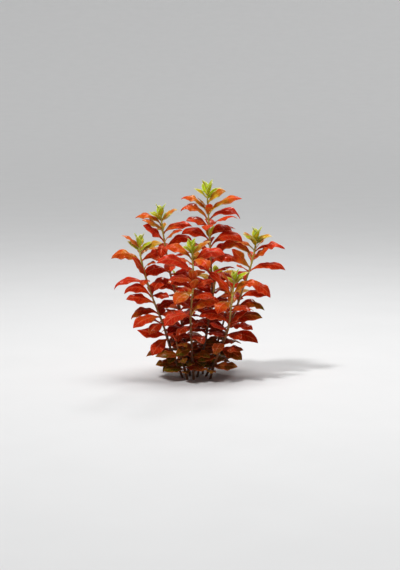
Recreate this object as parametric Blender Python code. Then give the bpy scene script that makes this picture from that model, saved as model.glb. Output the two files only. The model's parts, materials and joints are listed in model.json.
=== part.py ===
"""A leafy clump of Ludwigia repens, cut off at ground level and standing on its cut stems.

Ten shoots fan out from a tight group of feet. Each shoot is a stem with a crown of young
leaves at its tip and pairs of opposite leaves below. The long outer leaves are objects of
their own. The crowns, the side buds and the inner leaves are one piece with their stem.
The centre shoot's foot is the origin, the ground is z = 0, +X is right and +Y is back.
"""

import math
import random
from collections import namedtuple

import bmesh
import bpy
from mathutils import Matrix, Vector
from mathutils.bvhtree import BVHTree
from mathutils.geometry import delaunay_2d_cdt, intersect_ray_tri

MM = 0.001

# Stems, in millimetres
STEM_SIDES = 5
STEM_RING_SPACING = 17.0
FOOT_RADIUS = 1.35
TIP_RADIUS = 0.8
BUD_RADIUS = 0.35
BUD_HEIGHT = 2.0

# Leaf blades, in millimetres and degrees
BLADE_THICKNESS = 0.6
BLADE_FOLD = -12.0
BEND_POWER = 1.35
PETIOLE_WIDTH = 1.5
PETIOLE_THICKNESS = 1.1
WALK_STEPS = 30
LEAST_GROUND_GAP = 1.2

# The stalk widens and flattens into the blade over this share of the leaf's length
STALK_SHARE = 0.3

# A young leaf of the crown starts inside the stem, at this share of its radius
SUNK_SHARE = 0.3

# An inner leaf grows out of one facet of its stem, takes this share of the facet's width
# and heads at most this many degrees away from the facet's own direction
SOCKET_SHARE = 0.8
MOST_SKEW = 26.0

# How far off its facet a leaf is held while it is tested against its own stem
STEM_TEST_LIFT = 0.3

# How wide and how thick a blade is at each share of its length, as shares of its full width
GROWN_OUTLINE = ((0.00, 0.05, 1.0), (0.34, 0.82, 0.9), (0.60, 1.00, 0.8), (0.83, 0.64, 0.6))
INNER_OUTLINE = ((0.00, 0.10, 1.0), (0.45, 1.00, 0.9), (0.80, 0.66, 0.7))
YOUNG_OUTLINE = ((0.00, 0.15, 1.0), (0.45, 1.00, 0.8), (0.78, 0.72, 0.7))

# Young leaf pairs from the lowest up: millimetres below the tip, share of the crown's leaf size,
# rise, and how far the upper side turns to the front
CROWN_PAIRS = ((8.0, 1.0, 38, 28), (4.5, 0.95, 56, 28), (1.5, 0.8, 68, 0))
CROWN_DROOP = 12

# The last young leaves, which stand close together over the bud
UPRIGHT_LEAVES = 2

# Inner leaves: how far apart their rows are in millimetres, and how far each value is drawn either way
FILLING_SEED = 7
FILLING_SPACING = 10.5
HEIGHT_DRAW = 1.5
AZIMUTH_DRAW = 14.0
LENGTH_DRAW = 3.0
WIDTH_DRAW = 0.8

# Inner leaves: width as a share of length, and the degrees that the other values are drawn between
WIDTH_SHARE = 0.41
RISE_RANGE = (34.0, 52.0)
DROOP_RANGE = (54.0, 82.0)
FACE_RANGE = (2.0, 34.0)

# Their stalks rise less near the ground: this many degrees less at the foot, none at this height
GROUND_FLATTENING = 26.0
FLATTENED_HEIGHT = 70.0

# A row on the back takes only leaves whose azimuth has at least this sine
BACK_SINE = -0.25

# No inner leaf grows this near to one placed by hand, in millimetres and degrees
NEAR_HEIGHT = 7.0
NEAR_TURN = 40.0

# One that still touches another leaf after this many ways to hang it is left out
FILLING_TRIES = 900

# Gaps, in millimetres
PETIOLE_GAP = 0.32
CLEARANCE = 0.3

# Facets that meet at less than this many degrees count as one
FLAT_ANGLE = 0.2

# Points of a facet that are nearer than this, in millimetres, are one
FLAT_TOLERANCE = 0.00001

# A leaf from this length up that is placed by hand is an object of its own
OWN_OBJECT_LENGTH = 29.0

# A leaf that would touch another is turned by these steps, in degrees, the smallest change first
TURN_STEPS = (0, 6, -6, 12, -12, 18, -18, 26, -26, 35, -35, 45, -45)
RISE_STEPS = (0, 5, -5, 10, -10, 16, -16, 24, -24)
FACE_STEPS = (0, 12, -12, 24, -24)
DROOP_STEPS = (0, 14, -14, 28)
SHORTENINGS = (1.0, 0.9, 0.78, 0.65)

# What a degree of turn, rise, face and droop counts when the smallest change is looked for
OFFSET_COSTS = (1.0, 1.4, 0.5, 0.6)

# Leaf tones as linear red, green and blue
TONES = {
    "red": (0.56, 0.035, 0.014),
    "pink": (0.70, 0.10, 0.065),
    "deep": (0.22, 0.012, 0.008),
    "orange": (0.70, 0.13, 0.025),
    "tan": (0.55, 0.25, 0.06),
    "brown": (0.24, 0.06, 0.018),
    "stem": (0.26, 0.16, 0.04),
}
LEAF_ROUGHNESS = 0.35
STEM_ROUGHNESS = 0.5

# Height on the stem, azimuth (0 right, 90 back, 180 left, 270 front), length, width,
# rise of the stalk above level, droop from stalk to tip, how far the upper side turns to the front,
# and the tone, which a small leaf shares with its stem
Blade = namedtuple("Blade", "height azimuth length width rise droop face tone", defaults=("stem",))

# Length and width of the lowest young leaves, how many pairs there are and the lowest pair's azimuth
Crown = namedtuple("Crown", "length width pairs turn")

# Rows of inner leaves from a lowest to a highest height, all round or on the back only
Filling = namedtuple("Filling", "low high turn back_only length")

Shoot = namedtuple("Shoot", "name route crown blades fillings")

SHOOTS = (
    Shoot(
        "tall",
        (
            (0, 0, 0), (9, 3, 40), (15.5, 6, 86), (16, 7, 100),
            (14.5, 8, 124), (13.5, 9, 147), (12, 11, 172), (10.8, 12, 198.5),
        ),
        Crown(17.5, 7.6, 3, 20),
        (
            Blade(185, 338, 25, 10, 56, 56, 40),
            Blade(179, 214, 17, 7, 60, 40, 25),
            Blade(175, 180, 36, 11, 66, 90, 27, "tan"),
            Blade(174, 0, 40, 11, 54, 76, 31, "tan"),
            Blade(174, 290, 18, 8, 58, 45, 0),
            Blade(167.5, 190, 37, 13, 64, 110, 33, "orange"),
            Blade(167.5, 8, 39, 11, 42, 100, 31, "pink"),
            Blade(160, 342, 34, 13, 46, 62, 35, "red"),
            Blade(159, 204, 28.5, 12, 44, 66, 37),
            Blade(160, 262, 27, 12, 22, 60, 0),
            Blade(150, 160, 12, 5, 70, 10, 20),
            Blade(149, 318, 13.5, 5.5, 68, 10, 10),
            Blade(146.5, 186, 33, 13, 50, 92, 33, "red"),
            Blade(153, 318, 28, 11, 40, 90, 25),
            Blade(140, 350, 40, 13, 54, 116, 37, "red"),
            Blade(133, 200, 26, 11, 44, 84, 29),
            Blade(122, 338, 33, 14, 50, 116, 39, "deep"),
            Blade(118, 232, 28, 12, 40, 80, 21),
            Blade(110, 290, 26, 12, 20, 60, 0),
            Blade(101, 20, 28, 12, 36, 70, 35),
            Blade(99, 196, 28, 12, 32, 72, 35),
            Blade(17, 282, 24, 10, 16, 44, 4),
        ),
        (Filling(98, 180, 85, True, 30), Filling(13, 94, 40, False, 27)),
    ),
    Shoot(
        "upper_left",
        (
            (-7.5, 8, 0), (-13.5, 9, 40), (-21, 10, 81), (-27.5, 11, 106),
            (-33.5, 13, 138), (-36, 13.5, 153), (-38.5, 14, 174.5),
        ),
        Crown(15.5, 7, 3, 14),
        (
            Blade(167, 186, 17, 6.5, 50, 55, 25),
            Blade(165, 345, 25, 8, 62, 64, 35),
            Blade(162, 184, 32, 11, 55, 100, 33, "orange"),
            Blade(157, 214, 26, 12, 44, 44, 44),
            Blade(153.5, 2, 34, 13, 50, 96, 37, "red"),
            Blade(145.5, 208, 29, 13, 54, 44, 43, "pink"),
            Blade(144, 330, 26, 11, 55, 55, 27),
            Blade(138, 262, 31, 14, 20, 96, 13, "red"),
            Blade(137, 356, 33, 12, 58, 108, 41, "red"),
            Blade(121, 175, 27, 12, 42, 76, 35),
            Blade(122, 320, 26, 12, 36, 80, 23),
            Blade(111.5, 206, 31, 14, 30, 84, 39, "red"),
            Blade(109, 345, 31, 13, 10, 50, 39, "deep"),
            Blade(103, 232, 33, 14, 14, 78, 27, "red"),
            Blade(95, 185, 25, 11, 24, 66, 35),
            Blade(117, 286, 25, 12, 24, 74, 4),
            Blade(94, 300, 27, 12, 20, 70, 6),
            Blade(80, 214, 25, 11, 8, 66, 27),
            Blade(79, 340, 24, 11, 16, 50, 31),
        ),
        (Filling(90, 166, 100, True, 28), Filling(13, 84, 55, False, 26)),
    ),
    Shoot(
        "far_left",
        (
            (-15, -4, 0), (-28.5, -5, 33), (-35, -6, 56), (-45.5, -6, 83),
            (-52, -5, 102), (-56, -5, 116), (-58.5, -5, 126), (-60.5, -5, 145),
        ),
        Crown(15.5, 7, 3, 170),
        (
            Blade(138, 182, 25, 8, 52, 58, 27),
            Blade(135, 352, 26, 9, 56, 60, 35),
            Blade(131.5, 318, 27, 12, 52, 56, 29),
            Blade(126, 8, 29, 12, 40, 30, 37, "pink"),
            Blade(123, 180, 37, 13, 54, 112, 37, "orange"),
            Blade(116.5, 322, 19, 8, 58, 76, 23),
            Blade(110, 210, 28, 12.5, 60, 24, 56),
            Blade(104, 262, 24, 11, 24, 70, 0),
            Blade(101, 180, 40, 9.5, 26, 84, 31, "pink"),
            Blade(99, 8, 29, 13, 46, 74, 41, "red"),
            Blade(88.5, 192, 33, 13, 48, 102, 39, "red"),
            Blade(88, 336, 20, 10, 24, 60, 27),
            Blade(81.5, 204, 31, 13, 28, 38, 47, "red"),
            Blade(70, 172, 35, 14, 28, 104, 39, "brown"),
            Blade(66, 218, 36, 13, 8, 56, 39, "red"),
            Blade(68, 330, 26, 11, 20, 60, 29),
            Blade(58, 240, 28, 12, 8, 56, 23),
            Blade(46.5, 186, 30, 13, 16, 12, 47, "red"),
            Blade(48, 330, 24, 11, 10, 40, 29),
            Blade(42, 236, 30, 14, -8, 46, 33, "red"),
            Blade(29, 190, 28, 12, 12, 52, 31),
            Blade(25, 262, 24, 11, 8, 50, 8),
            Blade(15, 205, 24, 11, 20, 46, 27),
        ),
        (Filling(46, 134, 80, True, 27), Filling(14, 40, 20, False, 25)),
    ),
    Shoot(
        "front",
        (
            (-3.5, -14, 0), (-5.5, -19, 37), (-6.5, -24, 78),
            (-3.5, -26, 100), (-4, -27, 121), (-5.5, -27, 144),
        ),
        Crown(13, 6.6, 3, 28),
        (
            Blade(136, 192, 14, 5.5, 50, 22, 23),
            Blade(134, 345, 26, 9, 60, 54, 33),
            Blade(130.5, 182, 33, 11, 58, 94, 37, "orange"),
            Blade(126.5, 2, 37, 13, 50, 92, 45, "pink"),
            Blade(128, 308, 31, 14, 26, 104, 19, "orange"),
            Blade(124, 224, 19, 9, 40, 52, 25),
            Blade(114.5, 184, 42, 13, 50, 78, 45, "pink"),
            Blade(106, 190, 27, 12, 26, 52, 35),
            Blade(108, 250, 13, 6, 68, 20, 0),
            Blade(99, 290, 13, 6, 66, 24, 0),
            Blade(94, 230, 30, 15, 10, 66, 21, "tan"),
            Blade(88, 330, 26, 12, 34, 70, 29),
            Blade(72.5, 348, 39, 14, 66, 116, 43, "orange"),
            Blade(70, 206, 32, 14, 8, 62, 35, "pink"),
            Blade(58, 236, 26, 12, 12, 60, 8),
            Blade(48, 290, 27, 13, 14, 60, 4),
            Blade(34, 210, 24, 11, 10, 50, 25),
            Blade(19, 258, 22, 10, 20, 46, 6),
            Blade(11, 322, 20, 9, 24, 40, 8),
        ),
        (Filling(88, 132, 75, True, 24), Filling(14, 84, 60, False, 25)),
    ),
    Shoot(
        "right",
        (
            (9.5, 4, 0), (26, 5, 35), (41, 5, 72), (48.5, 5, 93),
            (52.5, 5, 106), (57, 5, 119), (60, 5, 131), (63.5, 5, 151),
        ),
        Crown(15.5, 7, 3, 8),
        (
            Blade(143, 182, 25, 8, 60, 78, 29),
            Blade(141, 238, 15, 6, 66, 22, 0),
            Blade(144, 358, 19, 7, 50, 74, 27),
            Blade(137, 322, 17, 8, 58, 22, 30),
            Blade(135, 0, 35, 9.5, 38, 84, 33, "pink"),
            Blade(128, 178, 42, 12, 58, 114, 35, "orange"),
            Blade(127, 326, 22, 11, 44, 30, 36),
            Blade(117.5, 206, 29, 13, 56, 4, 62, "orange"),
            Blade(114, 350, 41, 10.5, 37, 86, 40, "red"),
            Blade(112, 236, 25, 11, 38, 40, 23),
            Blade(102.5, 336, 33, 13, -6, 60, 37, "red"),
            Blade(97, 210, 26, 11, 30, 60, 31),
            Blade(85.5, 350, 32, 13, 32, 70, 35, "deep"),
            Blade(73, 2, 34, 13, 42, 116, 41, "brown"),
            Blade(70, 210, 27, 12, 28, 66, 27),
            Blade(55.5, 0, 36, 13, 40, 68, 39, "brown"),
            Blade(53, 328, 30, 13, 28, 64, 35, "deep"),
            Blade(44, 346, 38, 13, 22, 82, 39, "deep"),
            Blade(30, 322, 30, 14, -2, 34, 37, "brown"),
            Blade(10, 330, 24, 10, 22, 40, 23),
        ),
        (Filling(40, 136, 95, True, 27), Filling(14, 38, 15, False, 24)),
    ),
    Shoot(
        "low_right",
        (
            (14, -10, 0), (18, -13, 16), (26.5, -19, 38), (32, -23, 54),
            (35, -25, 71), (36, -26, 87), (38, -27, 101), (40, -27, 113),
        ),
        Crown(11, 6, 3, 10),
        (
            Blade(105, 200, 22, 8, 66, 34, 35),
            Blade(106, 348, 18, 7, 48, 32, 27),
            Blade(95, 222, 27, 12, 62, 14, 33),
            Blade(92, 186, 37, 13, 62, 40, 39, "red"),
            Blade(93, 350, 32, 10.5, 60, 94, 41, "tan"),
            Blade(84, 238, 29, 15, 16, 80, 19, "orange"),
            Blade(76, 330, 24, 11, 30, 70, 29),
            Blade(61, 340, 26, 11, 58, 46, 33),
            Blade(63, 184, 35, 13, 50, 92, 39, "red"),
            Blade(55, 214, 22, 9, 34, 30, 27),
            Blade(49, 310, 24, 11, 20, 60, 23),
            Blade(40, 250, 26, 12, 6, 56, 4),
            Blade(24, 214, 22, 11, 10, 36, 23),
            Blade(33, 340, 25, 10, 16, 36, 29),
            Blade(14, 336, 27, 12, 16, 30, 35),
            Blade(9, 266, 22, 10, 24, 42, 6),
        ),
        (Filling(62, 96, 90, True, 24), Filling(16, 60, 60, False, 24)),
    ),
    Shoot(
        "back",
        ((6, 15, 0), (10, 24, 40), (17, 33, 80), (20.5, 38, 106)),
        Crown(15, 6.6, 2, 10),
        (),
        (Filling(13, 98, 20, False, 30),),
    ),
    Shoot(
        "back_left",
        ((-9, 17, 0), (-14, 27, 40), (-20, 38, 78), (-23, 45, 102)),
        Crown(13, 6, 2, 75),
        (),
        (Filling(13, 95, 60, False, 30),),
    ),
    Shoot(
        "back_right",
        ((15, 11, 0), (22, 22, 32), (31, 34, 62), (36, 41, 84)),
        Crown(13, 5.8, 2, 120),
        (),
        (Filling(13, 78, 35, False, 29),),
    ),
    Shoot(
        "low_left",
        ((-10, -13, 0), (-15, -20, 20), (-20, -27, 36), (-22, -31, 48)),
        Crown(10, 5.4, 2, 50),
        (
            Blade(40, 300, 20, 9, 30, 60, 19),
            Blade(27, 190, 26, 11, 18, 44, 33),
            Blade(12, 214, 24, 10, 14, 30, 29),
            Blade(9, 282, 20, 9, 26, 42, 4),
        ),
        (Filling(12, 42, 15, False, 24),),
    ),
)


def clear_scene():
    """Remove whatever the file holds."""
    for thing in list(bpy.data.objects):
        bpy.data.objects.remove(thing, do_unlink=True)


def stem_centre(route, height):
    """Point of a stem's centre line at a height, on a smooth curve through the route's points."""
    heights = [point[2] for point in route]
    last = len(route) - 1
    span = max(i for i in range(last) if i == 0 or heights[i] <= height)
    low, high = heights[span], heights[span + 1]
    share = (height - low) / (high - low)

    def slope(i, axis):
        before, after = max(i - 1, 0), min(i + 1, last)
        return (route[after][axis] - route[before][axis]) / (heights[after] - heights[before])

    centre = []
    for axis in (0, 1):
        start, end = route[span][axis], route[span + 1][axis]
        lean_start, lean_end = slope(span, axis) * (high - low), slope(span + 1, axis) * (high - low)
        if share > 1.0:
            centre.append(end + slope(span + 1, axis) * (height - high))
            continue
        square, cube = share**2, share**3
        centre.append(
            (2 * cube - 3 * square + 1) * start
            + (cube - 2 * square + share) * lean_start
            + (3 * square - 2 * cube) * end
            + (cube - square) * lean_end
        )
    return Vector((centre[0], centre[1], height))


def stem_radius(route, height):
    """Radius of a stem at a height: it thins evenly from foot to tip."""
    return FOOT_RADIUS + (TIP_RADIUS - FOOT_RADIUS) * min(height / route[-1][2], 1.0)


def stem_levels(route):
    """Heights and radii of a stem's rings, with the bud's small ring last."""
    top = route[-1][2]
    count = max(3, round(top / STEM_RING_SPACING))
    levels = [(top * i / count, stem_radius(route, top * i / count)) for i in range(count + 1)]
    return levels + [(top + BUD_HEIGHT, BUD_RADIUS)]


def ring_corner(route, level, side):
    """One corner of a stem's ring."""
    height, radius = level
    angle = 2 * math.pi * side / STEM_SIDES
    return stem_centre(route, height) + Vector((math.cos(angle), math.sin(angle), 0)) * radius


def stem_mesh(route, grown=()):
    """Points and triangles of a closed stem with leaves that grow out of its facets."""
    levels = stem_levels(route)
    points = [ring_corner(route, level, side) for level in levels for side in range(STEM_SIDES)]
    faces = []
    holes = {}
    for leaf_points, leaf_faces, facet in grown:
        first = len(points)
        points += leaf_points
        faces += [tuple(first + corner for corner in face) for face in leaf_faces]
        holes.setdefault(facet, []).append([first + corner for corner in range(4)])
    for ring in range(len(levels) - 1):
        for side in range(STEM_SIDES):
            a = ring * STEM_SIDES + side
            b = ring * STEM_SIDES + (side + 1) % STEM_SIDES
            rim = [a, b, b + STEM_SIDES, a + STEM_SIDES]
            faces += facet_faces(points, rim, holes.get((ring, side), []))
    last = (len(levels) - 1) * STEM_SIDES
    for side in range(1, STEM_SIDES - 1):
        faces.append((0, side + 1, side))
        faces.append((last, last + side, last + side + 1))
    return points, faces


def facet_faces(points, rim, holes):
    """Triangles of a flat facet of the stem, left open where leaves grow out of it."""
    if not holes:
        return [(rim[0], rim[1], rim[2]), (rim[0], rim[2], rim[3])]
    across = (points[rim[1]] - points[rim[0]]).normalized()
    outward = across.cross(points[rim[3]] - points[rim[0]]).normalized()
    upward = outward.cross(across)
    loops = [rim] + holes
    corners = [i for loop in loops for i in loop]
    flat = [Vector((points[i].dot(across), points[i].dot(upward))) for i in corners]
    outlines = [list(range(4 * loop, 4 * loop + 4)) for loop in range(len(loops))]
    _, _, triangles, sources, _, _ = delaunay_2d_cdt(flat, [], outlines, 1, FLAT_TOLERANCE)
    faces = [tuple(corners[sources[i][0]] for i in triangle) for triangle in triangles]
    return [face for face in faces if not any(set(face) <= set(hole) for hole in holes)]


def socket_of(route, blade, swell=0.0):
    """The facet that an inner leaf grows out of, the leaf's four corners on it and its outward direction."""
    levels = stem_levels(route)[:-1]
    span = max(i for i in range(len(levels) - 1) if i == 0 or levels[i][0] <= blade.height)
    side = int(blade.azimuth % 360 // (360 / STEM_SIDES))
    low, high = levels[span], levels[span + 1]
    margin = low[1] * SOCKET_SHARE
    height = min(max(blade.height, low[0] + margin), high[0] - margin)
    share = (height - low[0]) / (high[0] - low[0])
    first = ring_corner(route, low, side).lerp(ring_corner(route, high, side), share)
    second = ring_corner(route, low, side + 1).lerp(ring_corner(route, high, side + 1), share)
    centre = (first + second) / 2
    across = (second - first).normalized()
    climb = ring_corner(route, high, side) - ring_corner(route, low, side)
    outward = across.cross(climb).normalized()
    reach = (second - first).length / 2 * SOCKET_SHARE + swell
    along = blade_direction(blade, INNER_OUTLINE[1][0])
    right = along.rotation_difference(outward) @ blade_across(blade, along) * reach
    top = outward.cross(right)
    return (span, side), [centre + right, centre + top, centre - right, centre - top], outward


def blade_direction(blade, share):
    """Direction of a blade's midrib at a share of its length: it rises from the stem and droops."""
    heading = math.radians(blade.azimuth)
    pitch = math.radians(blade.rise - blade.droop * share**BEND_POWER)
    level = math.cos(pitch)
    return Vector((level * math.cos(heading), level * math.sin(heading), math.sin(pitch)))


def blade_across(blade, along):
    """Direction across a blade, which is turned about its midrib to show its upper side to the front."""
    heading = math.radians(blade.azimuth)
    turn = math.radians(blade.face) if math.cos(heading) >= 0 else -math.radians(blade.face)
    return Matrix.Rotation(turn, 3, along) @ Vector((-math.sin(heading), math.cos(heading), 0))


def blade_walk(blade, start):
    """Points and directions along a blade's midrib."""
    point = start.copy()
    walk = []
    for step in range(WALK_STEPS + 1):
        along = blade_direction(blade, step / WALK_STEPS)
        walk.append((point.copy(), along))
        point += along * (blade.length / WALK_STEPS)
    return walk


def blade_mesh(blade, start, outline, swell=0.0, socket=None):
    """Points and triangles of one leaf: a folded lens section lofted along its midrib.

    A leaf with a socket starts at the socket's corners and is open there.
    """
    walk = blade_walk(blade, start)
    fold = math.radians(BLADE_FOLD)
    points, faces = [], []
    for share, width_share, thickness_share in outline:
        centre, along = walk[round(share * WALK_STEPS)]
        across = blade_across(blade, along)
        up = along.cross(across).normalized()
        stalk = max(0.0, 1.0 - share / STALK_SHARE)
        half_width = max(blade.width * width_share, PETIOLE_WIDTH) / 2 + swell
        thickness = BLADE_THICKNESS * thickness_share
        half_thickness = (thickness + (PETIOLE_THICKNESS - BLADE_THICKNESS) * stalk) / 2 + swell
        lift = math.sin(fold) * (1 - stalk) * half_width
        points.append(centre + across * half_width + up * lift)
        points.append(centre + up * half_thickness)
        points.append(centre - across * half_width + up * lift)
        points.append(centre - up * half_thickness)
    points.append(walk[-1][0] + walk[-1][1] * swell)
    if socket:
        points[:4] = socket
    else:
        faces += [(0, 3, 1), (1, 3, 2)]
    for ring in range(len(outline) - 1):
        for corner in range(4):
            a = ring * 4 + corner
            b = ring * 4 + (corner + 1) % 4
            faces.append((a, b, b + 4))
            faces.append((a, b + 4, a + 4))
    last = (len(outline) - 1) * 4
    tip = len(points) - 1
    for corner in range(4):
        faces.append((last + corner, last + (corner + 1) % 4, tip))
    return points, faces


def stalk_start(shoot, blade, own_object):
    """Where a leaf's stalk starts: clear of the stem if it is an object of its own, inside it if not."""
    centre = stem_centre(shoot.route, blade.height)
    heading = math.radians(blade.azimuth)
    outward = Vector((math.cos(heading), math.sin(heading), 0))
    radius = stem_radius(shoot.route, blade.height)
    if own_object:
        lean = abs(math.sin(math.radians(blade.rise))) * PETIOLE_THICKNESS / 2
        return centre + outward * (radius + PETIOLE_GAP + lean)
    return centre + outward * radius * SUNK_SHARE


def own_leaf(shoot, blade, swell=0.0):
    """A long leaf that is an object of its own, clear of its stem."""
    return blade_mesh(blade, stalk_start(shoot, blade, True), GROWN_OUTLINE, swell)


def grown_leaf(shoot, blade, swell=0.0, lift=0.0):
    """An inner leaf that starts on a facet of its stem, or a little off it."""
    facet_turn = 360 / STEM_SIDES
    middle = (blade.azimuth // facet_turn + 0.5) * facet_turn
    azimuth = min(max(blade.azimuth, middle - MOST_SKEW), middle + MOST_SKEW)
    blade = blade._replace(azimuth=azimuth)
    _, corners, outward = socket_of(shoot.route, blade, swell)
    corners = [corner + outward * lift for corner in corners]
    start = sum(corners, Vector()) / len(corners)
    return blade_mesh(blade, start, INNER_OUTLINE, swell, corners)


def tree_of(mesh):
    """Search tree of a mesh, with its middle and reach for a quick first test."""
    points, faces = mesh
    middle = sum(points, Vector()) / len(points)
    reach = max((point - middle).length for point in points)
    return BVHTree.FromPolygons(points, faces), middle, reach


def touches(tree, others):
    """Whether a mesh meets any of the others."""
    own, middle, reach = tree
    for other, other_middle, other_reach in others:
        if (middle - other_middle).length < reach + other_reach and own.overlap(other):
            return True
    return False


def crosses_itself(mesh):
    """Whether an edge of a leaf runs through a wall that it does not belong to."""
    points, faces = mesh
    edges = {tuple(sorted((face[i], face[i - 1]))) for face in faces for i in range(3)}
    for first, second in edges:
        start, run = points[first], points[second] - points[first]
        for face in faces:
            if first in face or second in face:
                continue
            hit = intersect_ray_tri(*(points[i] for i in face), run, start, True)
            if hit is not None and (hit - start).length < run.length:
                return True
    return False


def hang_offsets():
    """All ways to turn a leaf a little, the smallest change first."""
    offsets = [
        (turn, rise, face, droop)
        for turn in TURN_STEPS
        for rise in RISE_STEPS
        for face in FACE_STEPS
        for droop in DROOP_STEPS
    ]
    offsets.sort(key=lambda steps: sum(cost * abs(step) for cost, step in zip(OFFSET_COSTS, steps)))
    return offsets


def hang_clear(shoot, blade, own_object, stem_tree, others, offsets):
    """Turn a leaf until it hangs clear of all placed before it: its mesh and facet, or None."""
    for shortening in SHORTENINGS:
        for turn, rise, face, droop in offsets:
            tried = blade._replace(
                azimuth=blade.azimuth + turn,
                length=blade.length * shortening,
                rise=blade.rise + rise,
                face=blade.face + face,
                droop=blade.droop + droop,
            )
            swollen = own_leaf(shoot, tried, CLEARANCE) if own_object else grown_leaf(shoot, tried, CLEARANCE)
            if min(point.z for point in swollen[0]) < LEAST_GROUND_GAP:
                continue
            if touches(tree_of(swollen), others):
                continue
            if own_object:
                mesh = own_leaf(shoot, tried)
                if not touches(tree_of(mesh), [stem_tree]):
                    return mesh, None
                continue
            if touches(tree_of(grown_leaf(shoot, tried, lift=STEM_TEST_LIFT)), [stem_tree]):
                continue
            mesh = grown_leaf(shoot, tried)
            if not crosses_itself(mesh):
                return mesh, socket_of(shoot.route, tried)[0]
    return None


def crown_blades(shoot):
    """The young leaves round a tip, in pairs that are each a quarter turn on from the one below."""
    top = shoot.route[-1][2]
    blades = []
    for pair, (below, share, rise, face) in enumerate(CROWN_PAIRS[-shoot.crown.pairs :]):
        length, width = shoot.crown.length * share, shoot.crown.width * share
        for side in (0, 180):
            azimuth = shoot.crown.turn + 90 * pair + side
            blades.append(Blade(top - below, azimuth, length, width, rise, CROWN_DROOP, face))
    return blades


def turn_between(first, second):
    """Smallest angle between two azimuths in degrees."""
    return abs((first - second + 180) % 360 - 180)


def filling_blades(shoot, draw):
    """Inner leaves in opposite pairs, each a quarter turn on, where no leaf was placed by hand."""
    blades = []
    for filling in shoot.fillings:
        rows = int((filling.high - filling.low) / FILLING_SPACING) + 1
        for row in range(rows):
            height = filling.low + row * FILLING_SPACING + draw.uniform(-HEIGHT_DRAW, HEIGHT_DRAW)
            flattening = GROUND_FLATTENING * max(0.0, 1 - height / FLATTENED_HEIGHT)
            for side in (0, 180):
                azimuth = filling.turn + 90 * row + side + draw.uniform(-AZIMUTH_DRAW, AZIMUTH_DRAW)
                length = filling.length + draw.uniform(-LENGTH_DRAW, LENGTH_DRAW)
                width = WIDTH_SHARE * filling.length + draw.uniform(-WIDTH_DRAW, WIDTH_DRAW)
                rise = draw.uniform(*RISE_RANGE) - flattening
                droop = draw.uniform(*DROOP_RANGE)
                face = draw.uniform(*FACE_RANGE)
                if filling.back_only and math.sin(math.radians(azimuth)) < BACK_SINE:
                    continue
                if any(
                    abs(other.height - height) < NEAR_HEIGHT
                    and turn_between(other.azimuth, azimuth) < NEAR_TURN
                    for other in shoot.blades
                ):
                    continue
                blades.append(Blade(height, azimuth, length, width, rise, droop, face))
    return blades


def new_object(name, mesh_data, tone, roughness):
    """A closed object from points in millimetres, with a material of its own."""
    points, faces = mesh_data
    mesh = bpy.data.meshes.new(name)
    mesh.from_pydata([point * MM for point in points], [], faces)
    solid = bmesh.new()
    solid.from_mesh(mesh)
    bmesh.ops.recalc_face_normals(solid, faces=solid.faces)
    solid.to_mesh(mesh)
    solid.free()
    thing = bpy.data.objects.new(name, mesh)
    bpy.context.scene.collection.objects.link(thing)
    material = bpy.data.materials.new(name)
    material.use_nodes = True
    principled = material.node_tree.nodes["Principled BSDF"]
    principled.inputs["Base Color"].default_value = (*TONES[tone], 1)
    principled.inputs["Roughness"].default_value = roughness
    principled.inputs["Metallic"].default_value = 0.0
    mesh.materials.append(material)
    return thing


def grow_together(stem, leaves):
    """Join a stem and the small leaves that grow from it into one closed body."""
    group = bpy.data.collections.new("small_leaves")
    bpy.context.scene.collection.children.link(group)
    for leaf in leaves:
        bpy.context.scene.collection.objects.unlink(leaf)
        group.objects.link(leaf)
    join = stem.modifiers.new("grow together", "BOOLEAN")
    join.operation = "UNION"
    join.solver = "EXACT"
    join.operand_type = "COLLECTION"
    join.collection = group
    bpy.context.view_layer.update()
    grown = bpy.data.meshes.new_from_object(stem.evaluated_get(bpy.context.evaluated_depsgraph_get()))
    merge_flat_neighbours(grown)
    stem.modifiers.clear()
    stem.data = grown
    grown.name = stem.name
    for leaf in leaves:
        bpy.data.objects.remove(leaf, do_unlink=True)
    bpy.data.collections.remove(group)
    one_material(grown)


def merge_flat_neighbours(mesh):
    """Merge the slivers that the joining leaves in one flat facet."""
    solid = bmesh.new()
    solid.from_mesh(mesh)
    flat = math.radians(FLAT_ANGLE)
    bmesh.ops.dissolve_limit(solid, angle_limit=flat, verts=solid.verts, edges=solid.edges)
    solid.to_mesh(mesh)
    solid.free()


def one_material(mesh):
    """Keep only the stem's material on a grown-together mesh."""
    while len(mesh.materials) > 1:
        mesh.materials.pop(index=len(mesh.materials) - 1)
    for polygon in mesh.polygons:
        polygon.material_index = 0


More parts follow.
